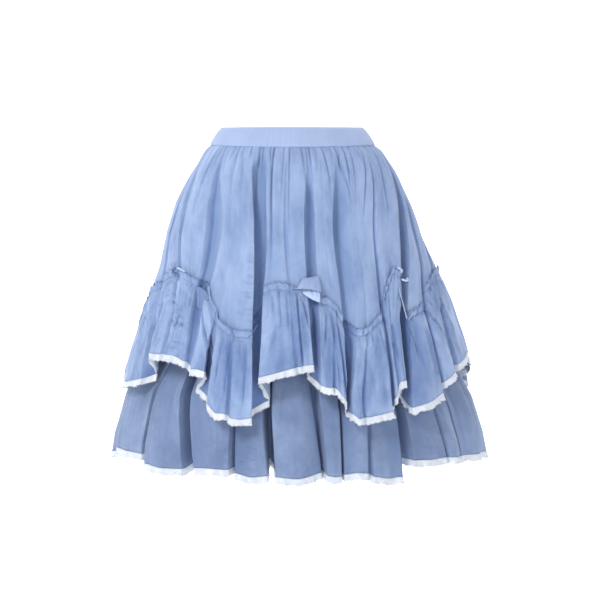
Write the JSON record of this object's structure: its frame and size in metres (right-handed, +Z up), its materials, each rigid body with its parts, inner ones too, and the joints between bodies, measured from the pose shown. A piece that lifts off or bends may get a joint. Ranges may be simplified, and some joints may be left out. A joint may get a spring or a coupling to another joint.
{
  "type": "lolita skirt",
  "caption": "Knee-length two-layer gathered cotton skirt with a zigzag overskirt, a ruffle, a longer underskirt, lace hems and an elastic waistband.",
  "frame": {"origin": "centre of the waist opening, at the waistband's top edge", "axes": "+Z up out of the waist, -Y the front, +X the wearer's left side"},
  "size_m": [0.6096, 0.5149, 0.5368],
  "materials": {
    "elastic_band": "smooth light blue cotton over wide elastic, faint ribs",
    "cotton": "thin crinkled light blue cotton, matt",
    "lace": "narrow white cotton lace"
  },
  "bodies": {
    "root": {"waistband": "elastic_band", "overskirt_front": "cotton", "overskirt_back": "cotton", "ruffle_front": "cotton", "ruffle_back": "cotton", "ruffle_lace_front": "lace", "ruffle_lace_back": "lace", "underskirt_front": "cotton", "underskirt_back": "cotton", "underskirt_lace_front": "lace", "underskirt_lace_back": "lace"}
  },
  "joints": []
}
